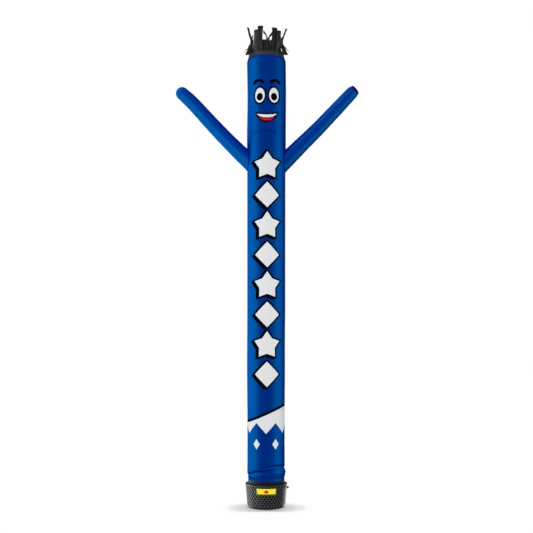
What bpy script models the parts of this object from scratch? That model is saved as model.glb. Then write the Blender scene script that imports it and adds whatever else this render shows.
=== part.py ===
"""Inflatable air dancer: a tall cloth tube with two arms and strip hair, on a round fan blower.

Metres, +Z up.  The origin is the centre of the blower's underside and the front is -Y.
A turn is an angle about the tube's axis in degrees, 0 at the front and 90 at +X.
"""
import math
from collections import namedtuple

import bmesh
import bpy
from mathutils import Vector

# ---- driving dimensions -----------------------------------------------------------------
GAP = 0.0003             # clearance between pieces that touch
CLOTH = 0.0015           # wall of the sewn pieces
STEEL = 0.002            # wall of the blower's sheet metal
SIDES = 48               # facets round the tube and round all that nests with it
ARM_SIDES = 20

BLOWER_HEIGHT = 0.296
BASE_RADIUS = 0.2385     # at the top of the base pan's lip
BASE_TAPER = 0.0012      # how much narrower the lip is where the rounding starts
BASE_CORNER = 0.022      # rounding of the lower corner
BASE_LIP = 0.030         # height of the lip
BASE_WALL = 0.006
BASE_FLOOR = 0.010       # solid floor of the pan
RIM_RADIUS = 0.2625      # at the blower's top
RIM_SKIRT = 0.012        # height of the rim's turned-down edge
RIM_WALL = 0.0045
RIM_PLATE = 0.003
RIM_ROUND = 0.009
RIM_REVEAL = 0.001       # how far the rim stands out past the drum
ROUND_STEPS = 4          # facets across a rounded corner

TUBE_FOOT = 0.2970       # height of the tube's lower edge, on the blower's top
FOOT_RADIUS = 0.2245     # outside of the tube where the cuff grips it
TUBE_TOP = 5.567
CUFF_TOP = 0.338
CUFF_THICK = 0.0035
CUFF_EDGE = 0.001        # chamfer of the strap's outer edges
COLLAR_LOW = 0.215
COLLAR_TOP = 0.335
HEADER_LOW = 5.530
HEADER_TOP = 5.607
HEADER_TOP_RADIUS = 0.2225
HEADER_EASE = 0.0008     # between the band and the tube's mouth
STRIP_WIDTH = 0.057
STRIP_STEPS = 9
STRIP_SLIT = 1.4         # turn between neighbouring strips at their roots

LABEL_TURN = 27.2        # the label reaches this far round to each side of the front
LABEL_LOW = 0.187
LABEL_TOP = 0.259
LABEL_THICK = 0.001
KNOB_HEIGHT = 0.2375
GLAND_HEIGHT = 0.070
FITTING_SIDES = 16

Section = namedtuple("Section", "height shift radius")
TUBE_SECTIONS = (
    Section(TUBE_FOOT, 0.0, FOOT_RADIUS),
    Section(0.352, 0.0, FOOT_RADIUS),
    Section(0.400, -0.002, 0.2355),
    Section(0.577, -0.003, 0.2335),
    Section(0.977, -0.003, 0.2335),
    Section(1.878, -0.004, 0.2370),
    Section(2.577, 0.0, 0.2375),
    Section(4.077, 0.0, 0.2375),
    Section(4.578, 0.002, 0.2425),
    Section(5.102, 0.006, 0.2405),
    Section(5.545, 0.002, 0.2420),
    Section(TUBE_TOP, 0.001, 0.2340),
)
# how many rings of facets each stretch of the tube is given
Stretch = namedtuple("Stretch", "top rings")
TUBE_STRETCHES = (
    Stretch(0.352, 3), Stretch(0.577, 14), Stretch(4.400, 6), Stretch(4.540, 1),
    Stretch(4.700, 9), Stretch(5.545, 3), Stretch(TUBE_TOP, 1),
)
# soft troughs in the tube; a negative depth is a ridge
Fold = namedtuple("Fold", "turn_from turn_to height_from height_to arch depth half_height")
TUBE_FOLDS = (
    Fold(-115, 32, 0.372, 0.490, 0.004, 0.018, 0.014),
    Fold(-22, 125, 0.492, 0.440, 0.055, 0.015, 0.013),
    Fold(10, 160, 0.440, 0.425, 0.0, -0.009, 0.020),
    Fold(-60, 60, 0.405, 0.375, 0.0, 0.005, 0.016),
    Fold(120, 262, 0.480, 0.420, -0.018, 0.014, 0.015),
    Fold(150, 235, 0.530, 0.500, 0.010, 0.009, 0.013),
    Fold(-40, 30, 4.612, 4.620, 0.004, 0.010, 0.016),
    Fold(150, 225, 4.560, 4.600, 0.010, 0.008, 0.018),
)

# centre line and outer radius of each arm, from inside the tube to the tip
Station = namedtuple("Station", "reach height radius")
ARM_LEFT = (
    Station(-0.140, 4.235, 0.1000), Station(-0.311, 4.400, 0.0980),
    Station(-0.516, 4.604, 0.0931), Station(-0.716, 4.816, 0.0888),
    Station(-0.910, 5.027, 0.0832), Station(-1.004, 5.119, 0.0795),
    Station(-1.068, 5.172, 0.0725),
)
ARM_RIGHT = (
    Station(0.140, 4.215, 0.1010), Station(0.300, 4.377, 0.0990),
    Station(0.465, 4.541, 0.0923), Station(0.665, 4.738, 0.0865),
    Station(0.865, 4.949, 0.0810), Station(1.020, 5.116, 0.0765),
    Station(1.076, 5.176, 0.0700), Station(1.117, 5.2125, 0.0480),
)
ARM_HOLE_EASE = 0.006    # the opening in the tube is this much smaller than the arm
ARM_ZONE = (3.5, 5.2)    # heights between which the arms meet the tube
ARM_STEPS = 2            # rings of facets from one station to the next
TIP_ANGLES = (25, 48, 66, 80)
SLOPE_REACH = 0.05       # share of a stretch over which an arm's direction is read

# a strip leans outward from upright and sways towards a greater turn, in degrees; round its
# bend it leans on by curl and sways on by hook, over a share of its length called span, and
# it has twisted edge on by then
Strip = namedtuple("Strip", "turn length lean sway bend span curl hook twist")
HAIR = (
    Strip(7.5, 0.280, 6, -6, 0.60, 0.56, -14, 28, -84),
    Strip(22.5, 0.303, 2, 4, 0.60, 0.50, -8, 0, 6),
    Strip(37.5, 0.266, 8, 4, 0.50, 0.50, -6, 0, 6),
    Strip(52.5, 0.270, -13, 3, 0.57, 0.36, 170, -8, 0),
    Strip(67.5, 0.160, -2, 0, 0.54, 0.44, 160, 0, 0),
    Strip(82.5, 0.362, -17, -3, 0.44, 0.36, 39, 0, 0),
    Strip(97.5, 0.295, -7, 4, 0.60, 0.40, -4, 0, 0),
    Strip(112.5, 0.285, 3, 0, 0.50, 0.50, -10, 0, 6),
    Strip(127.5, 0.280, -5, 0, 0.50, 0.50, 1, 0, 4),
    Strip(142.5, 0.295, 4, 2, 0.50, 0.50, -5, 0, 4),
    Strip(157.5, 0.300, -4, 0, 0.55, 0.40, 1, 0, 6),
    Strip(172.5, 0.290, 4, 0, 0.60, 0.36, -5, 0, 4),
    Strip(187.5, 0.305, -4, 0, 0.60, 0.40, 1, 0, 6),
    Strip(202.5, 0.292, 4, 0, 0.50, 0.40, -5, 0, 4),
    Strip(217.5, 0.302, -4, 0, 0.50, 0.50, 1, 0, -4),
    Strip(232.5, 0.285, 4, 0, 0.50, 0.50, -5, 0, -4),
    Strip(247.5, 0.290, -1, 0, 0.50, 0.50, -6, 0, -6),
    Strip(262.5, 0.298, -8, -4, 0.60, 0.40, -2, 0, 0),
    Strip(277.5, 0.372, -17, 3, 0.44, 0.36, 33, 0, 0),
    Strip(292.5, 0.155, -2, 0, 0.52, 0.44, 162, 0, 0),
    Strip(307.5, 0.268, -13, -2, 0.55, 0.36, 172, 8, 0),
    Strip(322.5, 0.282, 1, 2, 0.50, 0.50, -5, 0, -6),
    Strip(337.5, 0.316, 4, 3, 0.60, 0.50, -8, 0, -6),
    Strip(352.5, 0.292, -10, 11, 0.62, 0.56, 8, -30, 84),
)


# ---- scene and helpers ------------------------------------------------------------------
for leftover in list(bpy.data.objects):
    bpy.data.objects.remove(leftover, do_unlink=True)
PARTS = bpy.data.collections.new("inflatable_air_dancer")
CUTTERS = bpy.data.collections.new("cutters")
bpy.context.scene.collection.children.link(PARTS)
bpy.context.scene.collection.children.link(CUTTERS)


def finish(name, colour, roughness, metallic=0.0):
    """A Principled material with one colour."""
    material = bpy.data.materials.new(name)
    material.use_nodes = True
    shader = material.node_tree.nodes["Principled BSDF"]
    shader.inputs["Base Color"].default_value = (*colour, 1.0)
    shader.inputs["Roughness"].default_value = roughness
    shader.inputs["Metallic"].default_value = metallic
    return material


def add_piece(name, bm, material):
    """A bmesh made into a named object of the part."""
    mesh = bpy.data.meshes.new(name)
    bm.to_mesh(mesh)
    bm.free()
    mesh.materials.append(material)
    mesh.shade_smooth()
    mesh.set_sharp_from_angle(angle=math.radians(40))
    piece = bpy.data.objects.new(name, mesh)
    PARTS.objects.link(piece)
    return piece


def add_cutter(name, bm):
    """A closed bmesh made into a hidden tool for Boolean modifiers."""
    mesh = bpy.data.meshes.new(name)
    bm.to_mesh(mesh)
    bm.free()
    tool = bpy.data.objects.new(name, mesh)
    CUTTERS.objects.link(tool)
    tool.hide_render = True
    tool.display_type = "WIRE"
    return tool


def cut(piece, tool):
    change = piece.modifiers.new("cut_" + tool.name, "BOOLEAN")
    change.operation = "DIFFERENCE"
    change.solver = "EXACT"
    change.object = tool


def thicken(piece, wall):
    """Give an open surface its wall, inwards."""
    change = piece.modifiers.new("wall", "SOLIDIFY")
    change.thickness = wall
    change.offset = -1.0
    change.use_even_offset = True


def smooth(share):
    share = min(max(share, 0.0), 1.0)
    return share * share * (3.0 - 2.0 * share)


def direction(turn):
    """Unit vector that points out of the tube's axis at a turn."""
    angle = math.radians(turn)
    return Vector((math.sin(angle), -math.cos(angle), 0.0))


def loft(rings, cap_start=False, cap_end=False):
    """A surface through rings of points, each ring extruded from the one before."""
    bm = bmesh.new()
    order = bm.verts.layers.int.new("order")
    circle = bmesh.ops.create_circle(bm, radius=1.0, segments=len(rings[0]))["verts"]
    for number, vert in enumerate(circle):
        vert[order] = number
        vert.co = rings[0][number]
    edges = list(bm.edges)
    if cap_start:
        bmesh.ops.contextual_create(bm, geom=edges)
    for ring in rings[1:]:
        grown = bmesh.ops.extrude_edge_only(bm, edges=edges)["geom"]
        for vert in (item for item in grown if isinstance(item, bmesh.types.BMVert)):
            vert.co = ring[vert[order]]
        edges = [item for item in grown if isinstance(item, bmesh.types.BMEdge)
                 and all(v in grown for v in item.verts)]
    if cap_end:
        bmesh.ops.contextual_create(bm, geom=edges)
    bmesh.ops.recalc_face_normals(bm, faces=bm.faces)
    return bm


def turned(name, profile, material, closed=True):
    """A turned piece: a profile of (radius, height) corners swept once round the axis."""
    bm = bmesh.new()
    corners = [bm.verts.new((radius, 0.0, height)) for radius, height in profile]
    for low, high in zip(corners, corners[1:]):
        bm.edges.new((low, high))
    if closed:
        bm.edges.new((corners[-1], corners[0]))
    piece = add_piece(name, bm, material)
    sweep = piece.modifiers.new("turn", "SCREW")
    sweep.axis = "Z"
    sweep.steps = SIDES
    sweep.render_steps = SIDES
    sweep.use_merge_vertices = True
    sweep.merge_threshold = 0.00005
    return piece


# ---- body tube --------------------------------------------------------------------------
def section_at(height):
    """The tube's section at a height, eased between the rows of its table."""
    for low, high in zip(TUBE_SECTIONS, TUBE_SECTIONS[1:]):
        if height <= high.height:
            share = smooth((height - low.height) / (high.height - low.height))
            return Section(*(a + (b - a) * share for a, b in zip(low, high)))
    return TUBE_SECTIONS[-1]


def fold_at(turn, height):
    """How far the folds push the tube's wall in."""
    depth = 0.0
    for fold in TUBE_FOLDS:
        along = ((turn - fold.turn_from) % 360.0) / (fold.turn_to - fold.turn_from)
        if along < 1.0:
            fade = math.sin(math.pi * along)
            line = fold.height_from + (fold.height_to - fold.height_from) * along
            line += fold.arch * fade
            across = (height - line) / fold.half_height
            depth += fold.depth * math.sqrt(fade) * math.exp(-across * across)
    return depth


def tube_ring(height, grow=0.0):
    """Points round the tube's outside at a height, grown by a clearance."""
    section = section_at(height)
    points = []
    for number in range(SIDES):
        turn = number * 360.0 / SIDES
        reach = section.radius + grow - fold_at(turn, height)
        points.append(direction(turn) * reach + Vector((section.shift, 0.0, height)))
    return points


def tube_heights():
    heights = [TUBE_FOOT]
    for stretch in TUBE_STRETCHES:
        start = heights[-1]
        step = (stretch.top - start) / stretch.rings
        heights += [start + step * (number + 1) for number in range(stretch.rings)]
    return heights


def build_body_tube(material):
    tube = add_piece("body_tube", loft([tube_ring(height) for height in tube_heights()]), material)
    thicken(tube, CLOTH)
    for name, stations in (("hole_left", ARM_LEFT), ("hole_right", ARM_RIGHT)):
        core = arm_rings(stations[:3], -CLOTH - ARM_HOLE_EASE)
        cut(tube, add_cutter(name, loft(core, cap_start=True, cap_end=True)))


# ---- arms -------------------------------------------------------------------------------
def arm_point(stations, place):
    """A station part way along an arm, on a smooth curve through the table's rows."""
    index = min(int(place), len(stations) - 2)
    share = place - index
    before = stations[max(index - 1, 0)]
    low, high = stations[index], stations[index + 1]
    after = stations[min(index + 2, len(stations) - 1)]
    return Station(*(
        0.5 * (2 * b + (c - a) * share + (2 * a - 5 * b + 4 * c - d) * share ** 2
               + (3 * b - a - 3 * c + d) * share ** 3)
        for a, b, c, d in zip(before, low, high, after)))


def arm_circle(centre, along, radius):
    """A ring of points square to the arm's run, which lies in the plane of both arms."""
    across = Vector((-along.z, 0.0, along.x))
    points = []
    for number in range(ARM_SIDES):
        angle = 2.0 * math.pi * number / ARM_SIDES
        spoke = across * math.cos(angle) + Vector((0.0, 1.0, 0.0)) * math.sin(angle)
        points.append(centre + spoke * radius)
    return points


def arm_rings(stations, grow=0.0, round_tip=False):
    """Rings of points along an arm, grown by a clearance, with a rounded end if asked."""
    last = len(stations) - 1
    rings = []
    for number in range(last * ARM_STEPS + 1):
        place = number / ARM_STEPS
        here = arm_point(stations, place)
        ahead = arm_point(stations, min(place + SLOPE_REACH, last))
        behind = arm_point(stations, max(place - SLOPE_REACH, 0.0))
        along = Vector((ahead.reach - behind.reach, 0.0, ahead.height - behind.height)).normalized()
        centre = Vector((here.reach, 0.0, here.height))
        rings.append(arm_circle(centre, along, here.radius + grow))
    if round_tip:
        for angle in TIP_ANGLES:
            rise = math.radians(angle)
            tip = centre + along * here.radius * math.sin(rise)
            rings.append(arm_circle(tip, along, here.radius * math.cos(rise)))
    return rings


def build_arms(material):
    low, high = ARM_ZONE
    heights = [height for height in tube_heights() if low < height < high]
    plug = loft([tube_ring(height, GAP) for height in heights], cap_start=True, cap_end=True)
    plug = add_cutter("tube_plug", plug)
    for name, stations, closed in (("arm_left", ARM_LEFT, True), ("arm_right", ARM_RIGHT, False)):
        arm = add_piece(name, loft(arm_rings(stations, round_tip=closed), cap_end=closed), material)
        thicken(arm, CLOTH)
        cut(arm, plug)


# ---- hair -------------------------------------------------------------------------------
def header_ring(height, wall):
    """Points round the header band: two to a strip, with the slits between."""
    mouth = TUBE_SECTIONS[-1].radius - CLOTH - HEADER_EASE
    share = max((height - TUBE_TOP) / (HEADER_TOP - TUBE_TOP), 0.0)
    radius = mouth + (HEADER_TOP_RADIUS - mouth) * share - wall
    shift = Vector((TUBE_SECTIONS[-1].shift, 0.0, height))
    half = 180.0 / len(HAIR) - STRIP_SLIT / 2.0
    return [direction(strip.turn + side * half) * radius + shift
            for strip in HAIR for side in (-1.0, 1.0)]


def strip_sections(strip):
    """Where a strip's cross-sections lie: centre, width direction and thickness direction."""
    out = direction(strip.turn)
    aside = direction(strip.turn + 90.0)
    centre = out * (HEADER_TOP_RADIUS - CLOTH / 2.0)
    centre += Vector((TUBE_SECTIONS[-1].shift, 0.0, HEADER_TOP))
    sections = []
    for number in range(1, STRIP_STEPS + 1):
        bent = smooth((number / STRIP_STEPS - strip.bend) / strip.span + 0.5)
        lean = math.radians(strip.lean + strip.curl * bent)
        sway = math.radians(strip.sway + strip.hook * bent)
        twist = math.radians(strip.twist * smooth(number / STRIP_STEPS / strip.bend))
        run = Vector((0.0, 0.0, math.cos(lean))) + out * math.sin(lean)
        run = (run * math.cos(sway) + aside * math.sin(sway)).normalized()
        centre = centre + run * (strip.length / STRIP_STEPS)
        flat = (aside - run * aside.dot(run)).normalized()
        wide = flat * math.cos(twist) + flat.cross(run) * math.sin(twist)
        sections.append((centre, wide, wide.cross(run)))
    return sections


def build_hair(material):
    levels = ((HEADER_LOW, 0.0), (TUBE_TOP, 0.0), (HEADER_TOP, 0.0), (HEADER_TOP, CLOTH),
              (TUBE_TOP, CLOTH), (HEADER_LOW, CLOTH), (HEADER_LOW, 0.0))
    bm = loft([header_ring(height, wall) for height, wall in levels])
    bmesh.ops.remove_doubles(bm, verts=bm.verts, dist=0.00001)
    bmesh.ops.recalc_face_normals(bm, faces=bm.faces)
    order = bm.verts.layers.int["order"]
    for number, strip in enumerate(HAIR):
        patch = [face for face in bm.faces
                 if all(abs(vert.co.z - HEADER_TOP) < 1e-6 and vert[order] // 2 == number
                        for vert in face.verts)]
        facing = direction(strip.turn)
        middle = sum((face.calc_center_median() for face in patch), Vector())
        for centre, wide, thick in strip_sections(strip):
            grown = bmesh.ops.extrude_face_region(bm, geom=patch)["geom"]
            bmesh.ops.delete(bm, geom=patch, context="FACES_ONLY")
            patch = [item for item in grown if isinstance(item, bmesh.types.BMFace)]
            for vert in [item for item in grown if isinstance(item, bmesh.types.BMVert)]:
                side = 1.0 if vert[order] % 2 else -1.0
                wall = math.copysign(CLOTH / 2.0, (vert.co - middle).dot(facing))
                vert.co = centre + wide * side * STRIP_WIDTH / 2.0 + thick * wall
            middle, facing = centre, thick
    add_piece("hair", bm, material)


# ---- cuff and blower --------------------------------------------------------------------
Ring = namedtuple("Ring", "reach radius")
KNOB_RINGS = (Ring(0.0, 0.007), Ring(0.0055, 0.007), Ring(0.006, 0.0105),
              Ring(0.0125, 0.0105), Ring(0.014, 0.008))
GLAND_RINGS = (Ring(0.0, 0.014), Ring(0.004, 0.014), Ring(0.0045, 0.0105), Ring(0.018, 0.0085))


def build_cuff(material):
    inside = FOOT_RADIUS + GAP
    outside = inside + CUFF_THICK
    edge = outside - CUFF_EDGE
    low = BLOWER_HEIGHT + GAP
    turned("cuff", ((edge, CUFF_TOP), (outside, CUFF_TOP - CUFF_EDGE), (outside, low + CUFF_EDGE),
                    (edge, low), (inside, low), (inside, CUFF_TOP)), material)


def collar_radius():
    """Outside of the outlet collar, which the tube's foot fits over."""
    return FOOT_RADIUS - CLOTH - GAP


def wall_radius(height):
    """Outside of the drum's wall, which widens evenly from the base to the rim."""
    rise = (height - BASE_LIP) / (BLOWER_HEIGHT - BASE_LIP)
    return BASE_RADIUS + (RIM_RADIUS - RIM_REVEAL - BASE_RADIUS) * rise


def facet_reach(turn, radius):
    """How far out a turned piece's flat facets lie at a turn."""
    half = math.radians(180.0 / SIDES)
    off = math.radians(turn) % (2.0 * half) - half
    return radius * math.cos(half) / math.cos(off)


def rounding(radius, height, size, turn_from, turn_to):
    """Profile corners along an arc about the point (radius, height)."""
    turns = [math.radians(turn_from + (turn_to - turn_from) * number / ROUND_STEPS)
             for number in range(ROUND_STEPS + 1)]
    return [(radius + size * math.cos(turn), height + size * math.sin(turn)) for turn in turns]


def build_collar(material):
    outside = collar_radius()
    inside = outside - STEEL
    turned("blower_collar", ((outside, COLLAR_TOP), (outside, COLLAR_LOW),
                             (inside, COLLAR_LOW), (inside, COLLAR_TOP)), material)


def build_rim(material):
    hole = collar_radius() + GAP
    inside = RIM_RADIUS - RIM_WALL
    skirt = BLOWER_HEIGHT - RIM_SKIRT
    under = BLOWER_HEIGHT - RIM_PLATE
    profile = rounding(RIM_RADIUS - RIM_ROUND, BLOWER_HEIGHT - RIM_ROUND, RIM_ROUND, 90, 0)
    profile += [(RIM_RADIUS, skirt), (inside, skirt), (inside, under), (hole, under),
                (hole, BLOWER_HEIGHT)]
    turned("blower_rim", profile, material)


def build_drum(material):
    low = BASE_LIP + GAP
    high = BLOWER_HEIGHT - RIM_SKIRT - GAP
    turned("blower_drum", ((wall_radius(high), high), (wall_radius(low), low),
                           (wall_radius(low) - STEEL, low), (wall_radius(high) - STEEL, high)),
           material)


def build_base(material):
    inside = BASE_RADIUS - BASE_WALL
    corner = BASE_RADIUS - BASE_TAPER - BASE_CORNER
    profile = [(0.0, BASE_FLOOR), (BASE_RADIUS - BASE_CORNER, BASE_FLOOR), (inside, BASE_CORNER),
               (inside, BASE_LIP), (BASE_RADIUS, BASE_LIP)]
    profile += rounding(corner, BASE_CORNER, BASE_CORNER, 0, -90)
    profile += [(0.0, 0.0)]
    turned("blower_base", profile, material, closed=False)


def build_label(material):
    """A plain plate bent to the drum's front facets and fixed flat on them."""
    facet = 360.0 / SIDES
    columns = 2 * math.ceil(LABEL_TURN / facet)
    bm = bmesh.new()
    bmesh.ops.create_grid(bm, x_segments=columns, y_segments=1, size=0.5)
    for vert in bm.verts:
        height = LABEL_LOW + (LABEL_TOP - LABEL_LOW) * (vert.co.y + 0.5)
        turn = min(max(round(vert.co.x * columns) * facet, -LABEL_TURN), LABEL_TURN)
        reach = facet_reach(turn, wall_radius(height)) + GAP + LABEL_THICK
        vert.co = direction(turn) * reach + Vector((0.0, 0.0, height))
    bm.normal_update()
    inward = [face for face in bm.faces if face.normal.y > 0.0]
    bmesh.ops.reverse_faces(bm, faces=inward)
    thicken(add_piece("label_plate", bm, material), LABEL_THICK)


def build_side_fitting(name, turn, height, profile, material):
    """A small round fitting that stands out of the drum's wall, through rings of its profile."""
    out = direction(turn)
    aside = direction(turn + 90.0)
    up = Vector((0.0, 0.0, 1.0))
    root = facet_reach(turn, wall_radius(height + profile[0].radius)) + GAP
    angles = [2.0 * math.pi * number / FITTING_SIDES for number in range(FITTING_SIDES)]
    rings = []
    for ring in profile:
        centre = out * (root + ring.reach) + up * height
        rings.append([centre + (aside * math.cos(angle) + up * math.sin(angle)) * ring.radius
                      for angle in angles])
    add_piece(name, loft(rings, cap_start=True, cap_end=True), material)


cloth_blue = finish("cloth_blue", (0.004, 0.075, 0.36), 0.55)
cloth_black = finish("cloth_black", (0.012, 0.012, 0.013), 0.60)
strap_black = finish("strap_black", (0.015, 0.015, 0.016), 0.70)
drum_black = finish("drum_black", (0.030, 0.030, 0.034), 0.35, 0.6)
steel_black = finish("steel_black", (0.020, 0.020, 0.022), 0.40, 0.6)
plastic_black = finish("plastic_black", (0.015, 0.015, 0.015), 0.45)
label_yellow = finish("label_yellow", (0.90, 0.80, 0.02), 0.40)

build_body_tube(cloth_blue)
build_arms(cloth_blue)
build_hair(cloth_black)
build_cuff(strap_black)
build_collar(steel_black)
build_rim(steel_black)
build_drum(drum_black)
build_base(steel_black)
build_label(label_yellow)
build_side_fitting("side_knob", 90.0, KNOB_HEIGHT, KNOB_RINGS, plastic_black)
build_side_fitting("cord_gland", 180.0, GLAND_HEIGHT, GLAND_RINGS, plastic_black)
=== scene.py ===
import math
from collections import namedtuple

import bmesh
import bpy
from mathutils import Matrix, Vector, noise


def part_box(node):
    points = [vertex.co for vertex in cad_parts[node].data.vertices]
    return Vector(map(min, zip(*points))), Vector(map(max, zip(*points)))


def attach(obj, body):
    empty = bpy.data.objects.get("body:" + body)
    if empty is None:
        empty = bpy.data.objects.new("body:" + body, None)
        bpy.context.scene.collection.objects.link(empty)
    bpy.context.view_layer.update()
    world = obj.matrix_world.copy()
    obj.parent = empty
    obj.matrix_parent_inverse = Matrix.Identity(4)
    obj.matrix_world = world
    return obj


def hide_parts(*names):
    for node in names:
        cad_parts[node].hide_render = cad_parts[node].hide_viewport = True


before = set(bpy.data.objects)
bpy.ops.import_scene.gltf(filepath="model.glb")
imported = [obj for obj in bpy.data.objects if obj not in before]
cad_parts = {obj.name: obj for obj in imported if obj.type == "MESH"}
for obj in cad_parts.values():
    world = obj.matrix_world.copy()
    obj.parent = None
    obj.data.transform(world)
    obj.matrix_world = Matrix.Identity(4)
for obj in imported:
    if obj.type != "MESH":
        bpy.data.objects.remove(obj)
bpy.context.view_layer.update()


# ---- camera -----------------------------------------------------------------------------
# Level and square to the front, two metres up and ten metres off, with a lens of medium
# length.  The frame is raised by shift, so that uprights stay parallel.
view = bpy.data.cameras.new("camera")
view.sensor_width = 36.0
view.lens = 54.03
view.shift_y = 0.1435
view.clip_end = 200.0
camera = bpy.data.objects.new("camera", view)
camera.location = (0.0025, -10.0, 2.04)
camera.rotation_euler = (math.radians(90.0), 0.0, 0.0)
bpy.context.scene.collection.objects.link(camera)
bpy.context.scene.camera = camera


# ---- studio -----------------------------------------------------------------------------
# A plain pale floor that runs into a white background.  A dim even fill, a broad high key and
# tall soft lights at both sides light the object.  Small ones light its arms or its blower
# alone, and a fan of suns lights the floor, where the blower throws a soft shadow.
WHITE = (1.0, 1.0, 1.0, 1.0)
FILL = 0.25
BACKDROP = 1.0
KEY_SUN = 3.3
KEY_SPREAD = 50.0
KEY_FROM = Vector((0.0, -0.669, 0.743))
SUN_HEIGHT = 8.0
FLOOR_HALF = 40.0
FLOOR_TONE = (0.8, 0.8, 0.8, 1.0)
FLOOR_BACK = 17.0
# angles are in degrees; a turn is round the tube's axis from the front, to the right
FloorLight = namedtuple("FloorLight", "name lean spread energy casts")
FLOOR_LIGHTS = (
    FloorLight("floor_even", 0.0, 60.0, 0.80, False),
    FloorLight("floor_left_low", -38.0, 9.0, 0.60, True),
    FloorLight("floor_left", -20.0, 9.0, 0.48, True),
    FloorLight("floor_top", 0.0, 9.0, 0.34, True),
    FloorLight("floor_right", 20.0, 9.0, 0.44, True),
    FloorLight("floor_right_low", 38.0, 9.0, 0.60, True),
)
SoftLight = namedtuple("SoftLight", "name turn away height aim wide tall glow lit")
SOFT_LIGHTS = (
    SoftLight("soft_left_front", -81.0, 4.6, 4.2, 4.2, 4.9, 10.6, 1.45, "all"),
    SoftLight("soft_left_back", -131.0, 4.6, 2.9, 2.9, 3.4, 8.0, 2.3, "all"),
    SoftLight("soft_right", 79.0, 4.6, 2.9, 2.9, 5.0, 8.0, 1.1, "all"),
    SoftLight("arm_low", -30.0, 7.0, 3.2, 4.6, 4.2, 4.0, 2.2, "arms"),
    SoftLight("arm_high", -70.0, 3.2, 9.4, 4.8, 3.4, 3.4, 2.8, "arms"),
    SoftLight("low_front", -30.0, 3.0, 1.30, 0.20, 1.6, 1.2, 1.3, "blower"),
    SoftLight("low_left", -94.0, 2.4, 0.30, 0.30, 1.6, 0.6, 8.0, "blower"),
    SoftLight("low_left_bounce", -120.0, 2.4, -0.55, -0.55, 2.6, 1.2, 2.4, "blower"),
    SoftLight("low_right_bounce", 148.0, 2.4, -0.55, -0.55, 1.2, 1.2, 4.0, "blower"),
)


def direction(turn):
    """Unit vector that points out of the tube's axis at a turn."""
    angle = math.radians(turn)
    return Vector((math.sin(angle), -math.cos(angle), 0.0))


bpy.context.scene.view_settings.view_transform = "Standard"
world = bpy.data.worlds.new("studio")
world.use_nodes = True
bpy.context.scene.world = world
fill = world.node_tree.nodes["Background"]
backdrop = world.node_tree.nodes.new("ShaderNodeBackground")
for light, strength in ((fill, FILL), (backdrop, BACKDROP)):
    light.inputs["Color"].default_value = WHITE
    light.inputs["Strength"].default_value = strength
seen = world.node_tree.nodes.new("ShaderNodeLightPath")
choice = world.node_tree.nodes.new("ShaderNodeMixShader")
join = world.node_tree.links.new
join(seen.outputs["Is Camera Ray"], choice.inputs[0])
join(fill.outputs[0], choice.inputs[1])
join(backdrop.outputs[0], choice.inputs[2])
join(choice.outputs[0], world.node_tree.nodes["World Output"].inputs["Surface"])

bm = bmesh.new()
bmesh.ops.create_grid(bm, x_segments=1, y_segments=1, size=FLOOR_HALF)
mesh = bpy.data.meshes.new("floor")
bm.to_mesh(mesh)
bm.free()
paper = bpy.data.materials.new("floor_paper")
paper.use_nodes = True
surface = paper.node_tree.nodes["Principled BSDF"].inputs
surface["Base Color"].default_value = FLOOR_TONE
surface["Roughness"].default_value = 0.9
surface["Specular IOR Level"].default_value = 0.0
mesh.materials.append(paper)
floor = bpy.data.objects.new("floor", mesh)
floor.visible_diffuse = False
floor.visible_glossy = False
bpy.context.scene.collection.objects.link(floor)

on_floor = bpy.data.collections.new("lit_floor")
off_floor = bpy.data.collections.new("lit_but_the_floor")
for lit, state in ((on_floor, "INCLUDE"), (off_floor, "EXCLUDE")):
    lit.objects.link(floor)
    lit.collection_objects[-1].light_linking.link_state = state
blower_lit = bpy.data.collections.new("lit_blower")
arms_lit = bpy.data.collections.new("lit_arms")


def light_apart(piece):
    """Light a piece of the blower by the fill and the low lights alone."""
    off_floor.objects.link(piece)
    off_floor.collection_objects[-1].light_linking.link_state = "EXCLUDE"
    blower_lit.objects.link(piece)


def place_light(name, lamp, place, towards, lit, casting=None):
    """Hang a lamp that shines from a direction on a collection, and say what casts."""
    holder = bpy.data.objects.new(name, lamp)
    holder.location = place
    holder.rotation_euler = towards.to_track_quat("Z", "Y").to_euler()
    holder.visible_camera = False
    holder.light_linking.receiver_collection = lit
    holder.light_linking.blocker_collection = casting
    bpy.context.scene.collection.objects.link(holder)
    return holder


def place_sun(name, energy, spread, towards, lit, casting=None):
    """Hang a far light that spreads over an angle in degrees and shows in no gloss."""
    lamp = bpy.data.lights.new(name, "SUN")
    lamp.energy = energy
    lamp.angle = math.radians(spread)
    holder = place_light(name, lamp, Vector((0.0, 0.0, SUN_HEIGHT)), towards, lit, casting)
    holder.visible_glossy = False


for row in SOFT_LIGHTS:
    lamp = bpy.data.lights.new(row.name, "AREA")
    lamp.shape = "RECTANGLE"
    lamp.size = row.wide
    lamp.size_y = row.tall
    lamp.energy = row.glow * math.pi * row.wide * row.tall
    place = direction(row.turn) * row.away + Vector((0.0, 0.0, row.height))
    towards = place - Vector((0.0, 0.0, row.aim))
    lit = {"all": off_floor, "arms": arms_lit, "blower": blower_lit}[row.lit]
    casting = blower_lit if row.lit == "blower" else None
    place_light(row.name, lamp, place, towards, lit, casting)
place_sun("key_light", KEY_SUN, KEY_SPREAD, KEY_FROM, off_floor)
for row in FLOOR_LIGHTS:
    aside, back = (math.tan(math.radians(angle)) for angle in (row.lean, FLOOR_BACK))
    towards = Vector((aside, back, 1.0)).normalized()
    casting = blower_lit if row.casts else on_floor
    place_sun(row.name, row.energy / towards.z, row.spread, towards, on_floor, casting)


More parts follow.
